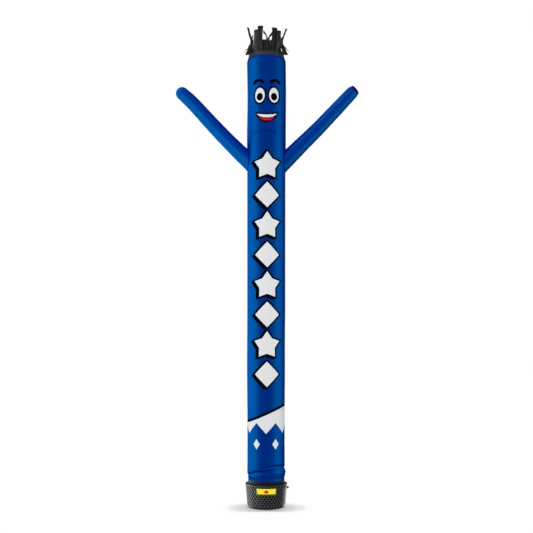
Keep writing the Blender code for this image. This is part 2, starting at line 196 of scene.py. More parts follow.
# ---- body tube --------------------------------------------------------------------------
# The tall tube of coated nylon that the blower fills, cut as one panel, printed, and closed
# by a seam down the back.  It stands by air alone and creases where it folds over, above
# the cuff and below the head.
TUBE_SIDES = 168
TUBE_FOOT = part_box("body_tube")[0].z
TUBE_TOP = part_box("body_tube")[1].z
FOOT_RADIUS = 0.2245
CLOTH = 0.0012
PRINT_RADIUS = 0.2375
TUBE_PANEL = 2.0 * math.pi * PRINT_RADIUS
TUBE_HEMS = (5.545, 0.36)
ARM_HOLE = 0.088
CREASE_ANGLE = 38.0
Section = namedtuple("Section", "height shift radius")
TUBE_SECTIONS = (
    Section(TUBE_FOOT, 0.0, FOOT_RADIUS),
    Section(0.352, 0.0, FOOT_RADIUS),
    Section(0.400, -0.002, 0.2355),
    Section(0.577, -0.003, 0.2335),
    Section(0.977, -0.003, 0.2335),
    Section(1.878, -0.004, 0.2370),
    Section(2.577, 0.0, 0.2375),
    Section(4.077, 0.0, 0.2375),
    Section(4.578, 0.002, 0.2425),
    Section(5.102, 0.006, 0.2405),
    Section(5.545, 0.002, 0.2420),
    Section(TUBE_TOP, 0.001, 0.2340),
)
Stretch = namedtuple("Stretch", "top rings")
TUBE_STRETCHES = (
    Stretch(0.340, 3), Stretch(0.600, 52), Stretch(4.150, 48), Stretch(4.740, 46),
    Stretch(5.520, 22), Stretch(TUBE_TOP, 6),
)
Fold = namedtuple("Fold", "turn_from turn_to height_from height_to arch depth half_height")
TUBE_FOLDS = (
    Fold(-115, 32, 0.372, 0.490, 0.004, 0.018, 0.014),
    Fold(-22, 125, 0.492, 0.440, 0.055, 0.015, 0.013),
    Fold(10, 160, 0.440, 0.425, 0.0, -0.009, 0.020),
    Fold(-60, 60, 0.405, 0.375, 0.0, 0.005, 0.016),
    Fold(-48, 24, 0.458, 0.472, 0.0, 0.014, 0.011),
    Fold(120, 262, 0.480, 0.420, -0.018, 0.014, 0.015),
    Fold(150, 235, 0.530, 0.500, 0.010, 0.009, 0.013),
    Fold(-40, 30, 4.612, 4.620, 0.004, 0.010, 0.016),
    Fold(-42, 26, 4.620, 4.630, 0.002, 0.012, 0.010),
    Fold(150, 225, 4.560, 4.600, 0.010, 0.008, 0.018),
)
Gather = namedtuple("Gather", "height reach depth count drift drift_count")
TUBE_GATHERS = (
    Gather(0.372, 0.020, 0.0011, 31, 2.0, 3),
    Gather(5.535, 0.030, 0.0008, 27, 1.4, 4),
)
RIPPLE_DEPTH = 0.0016
RIPPLE_ROUND = 2.2
RIPPLE_RISE = 1.6
RIPPLE_LOW = 0.36
RIPPLE_TOP = 5.54
RIPPLE_FADE = 0.10
Station = namedtuple("Station", "reach height radius")
ARM_LEFT = (
    Station(-0.140, 4.235, 0.1000), Station(-0.311, 4.400, 0.0980),
    Station(-0.516, 4.604, 0.0931), Station(-0.716, 4.816, 0.0888),
    Station(-0.910, 5.027, 0.0850), Station(-1.000, 5.113, 0.0825),
    Station(-1.050, 5.157, 0.0795),
)
ARM_RIGHT = (
    Station(0.140, 4.215, 0.1010), Station(0.300, 4.377, 0.0990),
    Station(0.465, 4.541, 0.0923), Station(0.665, 4.738, 0.0865),
    Station(0.865, 4.949, 0.0828), Station(1.020, 5.114, 0.0790),
    Station(1.074, 5.170, 0.0752), Station(1.116, 5.206, 0.0610),
)
BLUE = (0.0, 0.0062, 0.220, 1.0)
SEAM_BLUE = (0.0, 0.0020, 0.075, 1.0)
SATIN_BLUE = (0.0, 0.190, 0.43, 1.0)
SATIN_EDGE = (0.0, 0.35, 0.9, 1.0)
SATIN = 0.35
GRID_PITCH = 0.0065
GRID_RISE = 0.00005
SEAM_IN = 0.006
SEAM_HALF = 0.0012
SEAM_RISE = 0.0004
HEM_HALF = 0.0009
STITCH_PITCH = 0.0034
STITCH_RISE = 0.0003
THREAD_EDGE = 0.0006
INK_WHITE = (0.66, 0.665, 0.67, 1.0)
INK_BLACK = (0.002, 0.002, 0.004, 1.0)
INK_RED = (0.75, 0.004, 0.006, 1.0)


def smooth(share):
    """A share from 0 to 1, eased at both ends."""
    share = min(max(share, 0.0), 1.0)
    return share * share * (3.0 - 2.0 * share)


def section_at(height):
    """The tube's section at a height, eased between the rows of its table."""
    for low, high in zip(TUBE_SECTIONS, TUBE_SECTIONS[1:]):
        if height <= high.height:
            share = smooth((height - low.height) / (high.height - low.height))
            return Section(*(a + (b - a) * share for a, b in zip(low, high)))
    return TUBE_SECTIONS[-1]


def fold_at(turn, height):
    """How far the folds push the tube's wall in."""
    depth = 0.0
    for fold in TUBE_FOLDS:
        along = ((turn - fold.turn_from) % 360.0) / (fold.turn_to - fold.turn_from)
        if along < 1.0:
            fade = math.sin(math.pi * along)
            line = fold.height_from + (fold.height_to - fold.height_from) * along
            line += fold.arch * fade
            across = (height - line) / fold.half_height
            depth += fold.depth * math.sqrt(fade) * math.exp(-across * across)
    return depth


def pucker_at(turn, height):
    """Small gathers above the cuff and at the top hem, and slow ripples between."""
    angle = math.radians(turn)
    stand = 0.0
    for gather in TUBE_GATHERS:
        near = math.exp(-((height - gather.height) / gather.reach) ** 2)
        drift = gather.drift * math.sin(gather.drift_count * angle)
        stand += gather.depth * near * math.sin(gather.count * angle + drift)
    spot = Vector((RIPPLE_ROUND * math.sin(angle), RIPPLE_ROUND * math.cos(angle),
                   RIPPLE_RISE * height))
    free = smooth((height - RIPPLE_LOW) / RIPPLE_FADE)
    free *= smooth((RIPPLE_TOP - height) / RIPPLE_FADE)
    return stand + RIPPLE_DEPTH * free * noise.noise(spot)


def wall_reach(turn, height):
    """How far the tube's outside lies from its own axis at a turn and height."""
    return section_at(height).radius - fold_at(turn, height) + pucker_at(turn, height)


def grow(bm, edges):
    """Extrude edges, and give the new points and the new edges between them."""
    grown = bmesh.ops.extrude_edge_only(bm, edges=edges)["geom"]
    points = [item for item in grown if isinstance(item, bmesh.types.BMVert)]
    between = [item for item in grown if isinstance(item, bmesh.types.BMEdge)
               and all(vert in points for vert in item.verts)]
    return points, between


def loft(rings, cap_end=False):
    """A surface through rings of points, each ring extruded from the one before.

    Each point keeps its number in its ring and its ring's number, for maps laid on later.
    """
    bm = bmesh.new()
    order = bm.verts.layers.int.new("order")
    row = bm.verts.layers.int.new("row")
    circle = bmesh.ops.create_circle(bm, radius=1.0, segments=len(rings[0]))["verts"]
    for number, vert in enumerate(circle):
        vert[order] = number
        vert.co = rings[0][number]
    edges = list(bm.edges)
    for count, ring in enumerate(rings[1:], 1):
        points, edges = grow(bm, edges)
        for vert in points:
            vert.co = ring[vert[order]]
            vert[row] = count
    if cap_end:
        bmesh.ops.contextual_create(bm, geom=edges)
    bmesh.ops.recalc_face_normals(bm, faces=bm.faces)
    return bm


def lay_map(bm, sides, width, runs):
    """Lay a map in metres: across from the middle point of the rings, along by their runs."""
    order = bm.verts.layers.int["order"]
    row = bm.verts.layers.int["row"]
    flat = bm.loops.layers.uv.new("print")
    for face in bm.faces:
        numbers = [vert[order] for vert in face.verts]
        wraps = max(numbers) - min(numbers) > sides // 2
        for loop in face.loops:
            number = loop.vert[order]
            if wraps and number < sides // 2:
                number += sides
            loop[flat].uv = ((number / sides - 0.5) * width, runs[loop.vert[row]])


def add_piece(name, bm, material, creased=True):
    """A bmesh made into a named object that moves with the part."""
    mesh = bpy.data.meshes.new(name)
    bm.to_mesh(mesh)
    bm.free()
    mesh.materials.append(material)
    mesh.shade_smooth()
    if creased:
        mesh.set_sharp_from_angle(angle=math.radians(CREASE_ANGLE))
    piece = bpy.data.objects.new(name, mesh)
    bpy.context.scene.collection.objects.link(piece)
    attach(piece, "root")
    return piece


def thicken(piece, wall, shade_lining=None):
    """Give an open surface its wall, inwards, with its own material on the inside if any, such as
    painted shade.
    """
    change = piece.modifiers.new("wall", "SOLIDIFY")
    if shade_lining:
        piece.data.materials.append(shade_lining)
        change.material_offset = 1
    change.thickness = wall
    change.offset = -1.0
    change.use_even_offset = True


class Value:
    """A socket of a node tree that takes part in plain arithmetic."""

    def __init__(self, tree, socket=None):
        self.tree = tree
        self.socket = socket

    def node(self, kind, values=(), output=0, **settings):
        """Add a node: its settings first, then its inputs, each by name or number."""
        added = self.tree.nodes.new(kind)
        for name, value in settings.items():
            setattr(added, name, value)
        for name, value in dict(values).items():
            if isinstance(value, Value):
                self.tree.links.new(value.socket, added.inputs[name])
            else:
                added.inputs[name].default_value = value
        return Value(self.tree, added.outputs[output])

    def maths(self, operation, first, second=0.0):
        """A Math node on one or two values."""
        return self.node("ShaderNodeMath", {0: first, 1: second}, operation=operation)

    def __add__(self, other):
        return self.maths("ADD", self, other)

    def __sub__(self, other):
        return self.maths("SUBTRACT", self, other)

    def __mul__(self, other):
        return self.maths("MULTIPLY", self, other)

    def __truediv__(self, other):
        return self.maths("DIVIDE", self, other)

    def __mod__(self, other):
        return self.maths("FLOORED_MODULO", self, other)

    def __rsub__(self, other):
        return self.maths("SUBTRACT", other, self)

    def __neg__(self):
        return self.maths("MULTIPLY", self, -1.0)

    def __abs__(self):
        return self.maths("ABSOLUTE", self)

    __radd__ = __add__
    __rmul__ = __mul__

    def least(self, other):
        """The smaller of two values: where either shape is, if they are distances."""
        return self.maths("MINIMUM", self, other)

    def most(self, other):
        """The larger of two values: where both shapes are, if they are distances."""
        return self.maths("MAXIMUM", self, other)

    def call(self, operation):
        """A function of this one value, such as SINE or FLOOR."""
        return self.maths(operation, self)

    def length(self, other):
        """The length of the vector that has these two values."""
        return (self * self + other * other).call("SQRT")

    def ramp(self, low, high):
        """0 up to low and 1 from high, eased between."""
        return self.node("ShaderNodeMapRange", {0: self, 1: low, 2: high},
                         interpolation_type="SMOOTHSTEP")

    def inside(self, soft=0.0012):
        """1 where this distance is below nothing, with a soft edge."""
        return self.ramp(soft, -soft)

    def mix(self, first, second):
        """A colour between two, by this share."""
        return self.node("ShaderNodeMix", {0: self, 6: first, 7: second}, 2, data_type="RGBA")

    def parts(self):
        """The three numbers of a vector."""
        split = self.node("ShaderNodeSeparateXYZ", {0: self}).socket.node
        return [Value(self.tree, output) for output in split.outputs]


def new_material(name):
    """A material, the tree's starting value, and its Principled shader."""
    material = bpy.data.materials.new(name)
    material.use_nodes = True
    shader = material.node_tree.nodes["Principled BSDF"]
    return material, Value(material.node_tree), shader


def feed(shader, socket, value):
    """Set a shader's own input, or link it to a value."""
    if isinstance(value, Value):
        value.tree.links.new(value.socket, shader.inputs[socket])
    else:
        shader.inputs[socket].default_value = value


# the printed design: a column of plain stars and diamonds, a face, and a band with a zigzag
# edge above a row of small diamonds
COLUMN_LOW = 1.474
COLUMN_PITCH = 0.366
COLUMN_COUNT = 8
COLUMN_MIDDLE = 0.012
Motif = namedtuple("Motif", "points reach waist drop")
FIVE_POINTS = Motif(5, 0.172, 0.104, 0.010)
FOUR_POINTS = Motif(4, 0.156, 0.110, 0.0)
SHADE_ASIDE = 0.026
SHADE_DOWN = 0.016
MOTIF_OUTLINE = 0.022
FACE_MIDDLE = 0.002
Oval = namedtuple("Oval", "aside height half_wide half_tall")
EYE = ((Oval(0.089, 5.068, 0.083, 0.115), INK_BLACK),
       (Oval(0.089, 5.068, 0.062, 0.090), INK_WHITE),
       (Oval(0.089, 5.050, 0.041, 0.047), INK_BLACK))
BROW = Oval(0.108, 5.196, 0.064, 0.056)
BDIAMOND_HALF = 0.0195
BROW_FOOT = 5.212
MOUTH_BELOW = Oval(0.0, 4.900, 0.150, 0.162)
MOUTH_ABOVE = Oval(0.0, 4.925, 0.175, 0.080)
MOUTH_LINE = 0.017
TEETH = Oval(0.0, 4.905, 0.150, 0.112)
TEETH_GAP = 0.012
BAND_PEAK_HALF = TUBE_PANEL / 12.0
BAND_PEAK_SLOPE = 1.05
BAND_LOW = 0.930
BAND_TOP = 1.175
BAND_SWING = 0.105
BAND_BORDER = 0.018
DIAMOND_HEIGHT = 0.800
DIAMOND_HALF = 0.045
DIAMOND_SLOPE = 0.7


def oval(across, along, shape):
    """Distance outside an oval, close to true near its edge."""
    wide = (across - shape.aside) / shape.half_wide
    tall = (along - shape.height) / shape.half_tall
    return (wide.length(tall) - 1.0) * min(shape.half_wide, shape.half_tall)


def star(across, along, shape):
    """Distance outside a star with straight sides, one point up."""
    half = math.pi / shape.points
    rise = along + shape.drop
    angle = across.maths("PINGPONG", across.maths("ARCTAN2", across, rise), half)
    side = Vector((shape.waist * math.cos(half) - shape.reach, shape.waist * math.sin(half)))
    facing = Vector((side.y, -side.x)).normalized()
    near = angle.call("COSINE") * facing.x + angle.call("SINE") * facing.y
    return across.length(rise) * near - shape.reach * facing.x


def print_column(across, along):
    """White motifs, outlined and shaded in black to the lower left, and where ink lies."""
    place = (along - COLUMN_LOW) / COLUMN_PITCH
    number = place.call("FLOOR")
    in_column = (abs(place - COLUMN_COUNT / 2.0) - COLUMN_COUNT / 2.0).inside()
    aside = across - COLUMN_MIDDLE
    rise = (place - number - 0.5) * COLUMN_PITCH
    odd = number % 2.0

    def motif(aside, rise):
        five = star(aside, rise, FIVE_POINTS)
        four = star(aside, rise, FOUR_POINTS)
        return five * odd + four * (1.0 - odd)

    solid = motif(aside, rise)
    shade = motif(aside + SHADE_ASIDE, rise + SHADE_DOWN)
    ink = (solid.least(shade) - MOTIF_OUTLINE).inside() * in_column
    white = solid.inside() * in_column
    return white.mix(ink.mix(BLUE, INK_BLACK), INK_WHITE), ink


def print_face(across, along, colour, ink):
    """The face: two eyes of three ovals, arched brows, and a mouth with teeth and a lip."""
    side = abs(across - FACE_MIDDLE)
    for shape, tone in EYE:
        spot = oval(side, along, shape).inside()
        colour = spot.mix(colour, tone)
        ink = ink.most(spot)
    brow = (abs(oval(side, along, BROW)) - BDIAMOND_HALF).most(BROW_FOOT - along).inside()
    colour = brow.mix(colour, INK_BLACK)
    mouth = oval(side, along, MOUTH_BELOW).most(-oval(side, along, MOUTH_ABOVE))
    mouth = mouth.most(along - MOUTH_ABOVE.height)
    colour = mouth.inside().mix(colour, INK_BLACK)
    teeth = oval(side, along, TEETH)
    colour = (mouth + MOUTH_LINE).most(teeth).inside().mix(colour, INK_WHITE)
    lip = (mouth + MOUTH_LINE).most(TEETH_GAP - teeth)
    colour = lip.inside().mix(colour, INK_RED)
    return colour, ink.most(brow).most(mouth.inside())


def print_band(across, along, colour, ink):
    """The white band with its wavy top line and zigzag foot, and the diamonds below it."""
    wave = (across / PRINT_RADIUS).call("SINE") * BAND_SWING + BAND_TOP
    zigzag = across.maths("PINGPONG", across, BAND_PEAK_HALF) * BAND_PEAK_SLOPE
    band = (along - wave).most(BAND_LOW + zigzag - along).inside()
    border = (abs(along - wave) - BAND_BORDER).inside()
    repeat = 2.0 * BAND_PEAK_HALF
    aside = abs((across / repeat) % 1.0 - 0.5) * repeat
    away = abs(along - DIAMOND_HEIGHT)
    diamond = (aside + away * DIAMOND_SLOPE - DIAMOND_HALF).inside()
    colour = border.mix(band.mix(colour, INK_WHITE), INK_BLACK)
    colour = diamond.mix(colour, INK_WHITE)
    return colour, ink.most(band).most(border).most(diamond)


def cloth_bump(across, along, sewing):
    """Height of the ripstop grid, with the sewing's own."""
    grid_across = abs((across / GRID_PITCH) % 1.0 - 0.5).ramp(0.40, 0.5)
    grid_along = abs((along / GRID_PITCH) % 1.0 - 0.5).ramp(0.40, 0.5)
    return grid_across.most(grid_along) * GRID_RISE + sewing


def blue_cloth(name, width, hems, printed=False):
    """Coated blue nylon on the print map: satin where bare, flat where ink lies on it."""
    material, start, shader = new_material(name)
    across, along, unused = start.node("ShaderNodeUVMap", uv_map="print").parts()
    colour = BLUE
    share = SATIN
    if printed:
        colour, ink = print_column(across, along)
        colour, ink = print_face(across, along, colour, ink)
        colour, ink = print_band(across, along, colour, ink)
        share = SATIN * (1.0 - ink)
    lap = abs(across) - (width / 2.0 - SEAM_IN)
    sewn = (abs(lap) - SEAM_HALF).inside(THREAD_EDGE)
    colour = sewn.mix(colour, SEAM_BLUE)
    height = lap.ramp(-SEAM_HALF, SEAM_HALF) * SEAM_RISE
    for hem in hems:
        row = (abs(along - hem) - HEM_HALF).inside(THREAD_EDGE)
        dash = (abs((across / STITCH_PITCH) % 1.0 - 0.5) - 0.36).inside(0.05)
        height = height - row * SEAM_RISE + row * dash * STITCH_RISE
    bump = start.node("ShaderNodeBump", {"Strength": 0.7, "Distance": 1.0,
                                         "Height": cloth_bump(across, along, height)})
    feed(shader, "Base Color", colour)
    feed(shader, "Roughness", 0.6)
    feed(shader, "Specular IOR Level", 0.0)
    feed(shader, "Normal", bump)
    satin = start.node("ShaderNodeBsdfPrincipled", {
        "Base Color": SATIN_BLUE, "Metallic": 1.0, "Roughness": 0.42,
        "Specular Tint": SATIN_EDGE, "Normal": bump})
    matt = Value(start.tree, shader.outputs[0])
    both = start.node("ShaderNodeMixShader", {0: share, 1: matt, 2: satin})
    feed(material.node_tree.nodes["Material Output"], "Surface", both)
    return material


def open_hole(bm, stations, radius):
    """Open the tube's wall where an arm leaves it."""
    first = Vector((stations[0].reach, 0.0, stations[0].height))
    second = Vector((stations[1].reach, 0.0, stations[1].height))
    along = (second - first).normalized()

    def off(point):
        return point - first - along * along.dot(point - first)

    faces = []
    for face in bm.faces:
        middle = face.calc_center_median()
        if middle.x * along.x > 0.0 and off(middle).length < radius:
            faces.append(face)
    rim = {vert for face in faces for vert in face.verts}
    bmesh.ops.delete(bm, geom=faces, context="FACES")
    for vert in (v for v in rim if v.is_valid):
        away = off(vert.co)
        spot = vert.co + away.normalized() * (radius - away.length)
        shift = section_at(spot.z).shift
        turn = math.degrees(math.atan2(spot.x - shift, -spot.y))
        vert.co = direction(turn) * wall_reach(turn, spot.z) + Vector((shift, 0.0, spot.z))


tube_heights = [TUBE_FOOT]
for stretch in TUBE_STRETCHES:
    start_height = tube_heights[-1]
    step = (stretch.top - start_height) / stretch.rings
    tube_heights += [start_height + step * (number + 1) for number in range(stretch.rings)]
rings = []
for height in tube_heights:
    turns = [-180.0 + number * 360.0 / TUBE_SIDES for number in range(TUBE_SIDES)]
    middle = Vector((section_at(height).shift, 0.0, height))
    rings.append([direction(turn) * wall_reach(turn, height) + middle for turn in turns])
bm = loft(rings)
lay_map(bm, TUBE_SIDES, TUBE_PANEL, tube_heights)
open_hole(bm, ARM_LEFT, ARM_HOLE)
open_hole(bm, ARM_RIGHT, ARM_HOLE)
printed_cloth = blue_cloth("cloth_blue_printed", TUBE_PANEL, TUBE_HEMS, printed=True)
tube = add_piece("tube_cloth", bm, printed_cloth, creased=False)
thicken(tube, CLOTH)
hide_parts("body_tube")


# ---- arms -------------------------------------------------------------------------------
# Two narrower tubes of the same blue nylon, sewn round an opening on each side of the body.
# The left one is closed at its rounded tip; the right one ends in an open hemmed mouth that
# lets the air out.
ARM_SIDES = 56
ARM_RINGS = 96
RING_CROWDING = 1.15
ARM_LENGTH = 1.15
ARM_PANEL = 0.55
ARM_HEMS = (0.010, 1.138)
STATION_RUN = 0.24
RUN_STEP = 0.05
SEAM_EASE = 0.0006
SEAM_HALVINGS = 26
ROOT_FLARE = 0.0022
FLARE_REACH = 0.016
FLARE_START = 0.004
ROOT_GATHER = 0.0016
ROOT_GATHERS = 15
GATHER_REACH = 0.05
GATHER_START = 0.02
ARM_RIPPLE = 0.0016
ARM_RIPPLE_ROUND = 3.0
ARM_RIPPLE_ALONG = 9.0
ARM_RIPPLE_START = 0.06
MOUTH_TILT_UP = 0.004
MOUTH_TILT_BACK = 0.032
MOUTH_TILT_POWER = 8
TIP_ANGLES = (12, 24, 36, 47, 57, 66, 74, 81, 86)
# the arms' inside is painted near black: painted shade for the dark within each arm
INSIDE_SHADE_BLUE = (0.0, 0.0012, 0.030, 1.0)


def arm_point(stations, place):
    """A station part way along an arm, on a smooth curve through the table's rows."""
    index = min(int(place), len(stations) - 2)
    share = place - index
    before = stations[max(index - 1, 0)]
    low, high = stations[index], stations[index + 1]
    after = stations[min(index + 2, len(stations) - 1)]
    return Station(*(
        0.5 * (2 * b + (c - a) * share + (2 * a - 5 * b + 4 * c - d) * share ** 2
               + (3 * b - a - 3 * c + d) * share ** 3)
        for a, b, c, d in zip(before, low, high, after)))


def arm_run(stations, place):
    """Unit vector along an arm at a place."""
    ahead = arm_point(stations, min(place + RUN_STEP, len(stations) - 1))
    behind = arm_point(stations, max(place - RUN_STEP, 0.0))
    run = Vector((ahead.reach - behind.reach, 0.0, ahead.height - behind.height))
    return run.normalized()


def arm_spot(stations, place, angle, swell=0.0):
    """A point on an arm's outside at a place along it and an angle round it."""
    here = arm_point(stations, place)
    along = arm_run(stations, place)
    across = Vector((-along.z, 0.0, along.x))
    spoke = across * math.cos(angle) + Vector((0.0, 1.0, 0.0)) * math.sin(angle)
    return Vector((here.reach, 0.0, here.height)) + spoke * (here.radius + swell)


def outside_tube(point):
    """How far a point lies outside the tube's wall."""
    away = point - Vector((section_at(point.z).shift, 0.0, point.z))
    turn = math.degrees(math.atan2(away.x, -away.y))
    return away.length - wall_reach(turn, point.z)


def root_place(stations, angle):
    """The place along an arm where one of its lines meets the tube's wall."""
    low, high = 0.0, 2.0
    for unused in range(SEAM_HALVINGS):
        middle = 0.5 * (low + high)
        if outside_tube(arm_spot(stations, middle, angle)) < SEAM_EASE:
            low = middle
        else:
            high = middle
    return high


def arm_swell(place, root, angle, last):
    """How far the cloth stands off an arm's plain outline: flared, gathered and rippled."""
    near = (place - root) * STATION_RUN
    flare = ROOT_FLARE * math.exp(-(near / FLARE_REACH) ** 2) * smooth(near / FLARE_START)
    gather = ROOT_GATHER * math.exp(-near / GATHER_REACH) * math.sin(ROOT_GATHERS * angle)
    spot = Vector((ARM_RIPPLE_ROUND * math.cos(angle) + last, ARM_RIPPLE_ROUND * math.sin(angle),
                   ARM_RIPPLE_ALONG * place))
    ripple = ARM_RIPPLE * smooth(near / ARM_RIPPLE_START) * noise.noise(spot)
    return flare + gather * smooth(near / GATHER_START) + ripple


def build_arm(name, stations, closed, material, shade_lining):
    """An arm from the tube's wall to its tip, which is rounded off if it is closed."""
    last = len(stations) - 1
    angles = [2.0 * math.pi * number / ARM_SIDES for number in range(ARM_SIDES)]
    roots = [root_place(stations, angle) for angle in angles]
    rings = []
    runs = []
    for count in range(ARM_RINGS + 1):
        share = (count / ARM_RINGS) ** RING_CROWDING
        ring = []
        for angle, root in zip(angles, roots):
            place = root + (last - root) * share
            spot = arm_spot(stations, place, angle, arm_swell(place, root, angle, last))
            if not closed:
                tilt = MOUTH_TILT_UP * math.cos(angle) + MOUTH_TILT_BACK * math.sin(angle)
                spot += arm_run(stations, place) * tilt * share ** MOUTH_TILT_POWER
            ring.append(spot)
        rings.append(ring)
        runs.append(share * ARM_LENGTH)
    if closed:
        here = arm_point(stations, last)
        along = arm_run(stations, last)
        middle = Vector((here.reach, 0.0, here.height))
        for turn in TIP_ANGLES:
            rise = math.radians(turn)
            tip = middle + along * here.radius * math.sin(rise)
            rings.append([tip + (point - middle) * math.cos(rise) for point in rings[ARM_RINGS]])
            runs.append(ARM_LENGTH + here.radius * rise)
    bm = loft(rings, cap_end=closed)
    lay_map(bm, ARM_SIDES, ARM_PANEL, runs)
    arm = add_piece(name, bm, material, creased=False)
    thicken(arm, CLOTH, shade_lining)
    arms_lit.objects.link(arm)
    return arm


arm_cloth = blue_cloth("cloth_blue_plain", ARM_PANEL, ARM_HEMS)
# painted shade on the inside of the arms' cloth
inside_shade_cloth, start, shader = new_material("cloth_blue_painted_shade_inside")
feed(shader, "Base Color", INSIDE_SHADE_BLUE)
feed(shader, "Roughness", 0.8)
feed(shader, "Specular IOR Level", 0.0)
left = build_arm("arm_left_cloth", ARM_LEFT, True, arm_cloth, inside_shade_cloth)
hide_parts("arm_left")
right = build_arm("arm_right_cloth", ARM_RIGHT, False, arm_cloth, inside_shade_cloth)
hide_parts("arm_right")


# ---- hair -------------------------------------------------------------------------------
# A band of black nylon sewn inside the tube's mouth and slit into loose strips, which the
# air blows upright, bends and flips over.
HEADER_LEVELS = (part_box("hair")[0].z, 5.545, TUBE_TOP, 5.580, 5.594, 5.607)
HEADER_IN = 0.0023
HEADER_TOP = HEADER_LEVELS[-1]
HEADER_TOP_RADIUS = 0.2225
# the header band is the strips' own nylon painted paler: painted light on the band
HEADER_PAINTED_LIGHT = (0.023, 0.0215, 0.020, 1.0)
TWIST_HOLD = 0.55
STRIP_STEPS = 27
STRIP_COLUMNS = 6
STRIP_SLIT = 0.7
STRIP_IN = 0.00075
STRIP_FREE = 5.0
STRIP_CUP = 0.0035
CUP_PHASE = 2.4
STRIP_WAVE = 0.006
WAVE_ACROSS = 1.3
WAVE_ALONG = 0.22
WAVE_APART = 3.7
HAIR_CLOTH = 0.0010
STRIP_BLACK = (0.0115, 0.0115, 0.0120, 1.0)
# painted shade: the strips are laid darker at their edges, tips, roots and creases and where they
# flop out over the side
SHADED_BLACK = (0.0010, 0.0010, 0.0010, 1.0)
EDGE_SHADE = (0.72, 0.94)
TIP_SHADE = (0.87, 0.90)
ROOT_SHADE = (0.55, 0.10)
ROOT_DEPTH = 0.62
CREASE_SHADE = (0.42, 0.62)
CREASE_DEPTH = 0.92
CREASE_STRETCH = 0.30
FLOPPED_SHADE = (0.236, 0.250)
# one row to each strip, in order round the head from the front to the right
Strip = namedtuple("Strip", "length wide lean sway bend span curl hook twist")
HAIR = (
    Strip(0.245, 0.060, 4, -1, 0.70, 0.40, -10, 42, -76),
    Strip(0.303, 0.066, 2, 4, 0.60, 0.50, -8, 0, 6),
    Strip(0.266, 0.066, 8, 1, 0.50, 0.50, -6, 0, 6),
    Strip(0.318, 0.062, -16, 3, 0.42, 0.28, 170, -6, -22),
    Strip(0.190, 0.058, -4, 0, 0.54, 0.44, 150, 0, 0),
    Strip(0.362, 0.062, -17, -3, 0.44, 0.36, 39, 0, -34),
    Strip(0.295, 0.058, -7, 4, 0.60, 0.40, -4, 0, 0),
    Strip(0.285, 0.058, 3, 0, 0.50, 0.50, -10, 0, 6),
    Strip(0.280, 0.058, -5, 0, 0.50, 0.50, 1, 0, 4),
    Strip(0.295, 0.058, 4, 2, 0.50, 0.50, -5, 0, 4),
    Strip(0.300, 0.058, -4, 0, 0.55, 0.40, 1, 0, 6),
    Strip(0.290, 0.058, 4, 0, 0.60, 0.36, -5, 0, 4),
    Strip(0.305, 0.058, -4, 0, 0.60, 0.40, 1, 0, 6),
    Strip(0.292, 0.058, 4, 0, 0.50, 0.40, -5, 0, 4),
    Strip(0.302, 0.058, -4, 0, 0.50, 0.50, 1, 0, -4),
    Strip(0.285, 0.058, 4, 0, 0.50, 0.50, -5, 0, -4),
    Strip(0.290, 0.058, -1, 0, 0.50, 0.50, -6, 0, -6),
    Strip(0.298, 0.058, -8, -4, 0.60, 0.40, -2, 0, 0),
    Strip(0.372, 0.062, -17, 3, 0.44, 0.36, 33, 0, 32),
    Strip(0.180, 0.058, -4, 0, 0.52, 0.44, 152, 0, 0),
    Strip(0.312, 0.062, -16, -2, 0.42, 0.28, 172, 6, 22),
    Strip(0.282, 0.062, 1, 2, 0.50, 0.50, -5, 0, -6),
    Strip(0.316, 0.068, 4, 3, 0.60, 0.50, -8, 0, -6),
    Strip(0.262, 0.060, -2, 13, 0.72, 0.40, 4, -52, 76),
)


def strip_turn(number):
    """The turn of a strip's middle line."""
    return (number + 0.5) * 360.0 / len(HAIR)


def header_ring(height):
    """Points round the header band: a row to each strip, with the slits between."""
    mouth = TUBE_SECTIONS[-1].radius - HEADER_IN
    share = max((height - TUBE_TOP) / (HEADER_TOP - TUBE_TOP), 0.0)
    radius = mouth + (HEADER_TOP_RADIUS - mouth) * share
    shift = Vector((TUBE_SECTIONS[-1].shift, 0.0, height))
    half = 180.0 / len(HAIR) - STRIP_SLIT / 2.0
    points = []
    for number in range(len(HAIR)):
        for column in range(STRIP_COLUMNS + 1):
            turn = strip_turn(number) + half * (2.0 * column / STRIP_COLUMNS - 1.0)
            points.append(direction(turn) * radius + shift)
    return points


def strip_sections(strip, turn):
    """Where a strip's cross-sections lie: centre, width direction and thickness direction."""
    out = direction(turn)
    aside = direction(turn + 90.0)
    centre = out * (HEADER_TOP_RADIUS - STRIP_IN)
    centre += Vector((TUBE_SECTIONS[-1].shift, 0.0, HEADER_TOP))
    sections = []
    for step in range(1, STRIP_STEPS + 1):
        share = step / STRIP_STEPS
        bent = smooth((share - strip.bend) / strip.span + 0.5)
        lean = math.radians(strip.lean + strip.curl * bent)
        sway = math.radians(strip.sway + strip.hook * bent)
        twisted = smooth((share / strip.bend - TWIST_HOLD) / (1.0 - TWIST_HOLD))
        twist = math.radians(strip.twist * twisted)
        run = Vector((0.0, 0.0, math.cos(lean))) + out * math.sin(lean)
        run = (run * math.cos(sway) + aside * math.sin(sway)).normalized()
        centre = centre + run * (strip.length / STRIP_STEPS)
        flat = (aside - run * aside.dot(run)).normalized()
        wide = flat * math.cos(twist) + flat.cross(run) * math.sin(twist)
        sections.append((centre, wide, wide.cross(run)))
    return sections


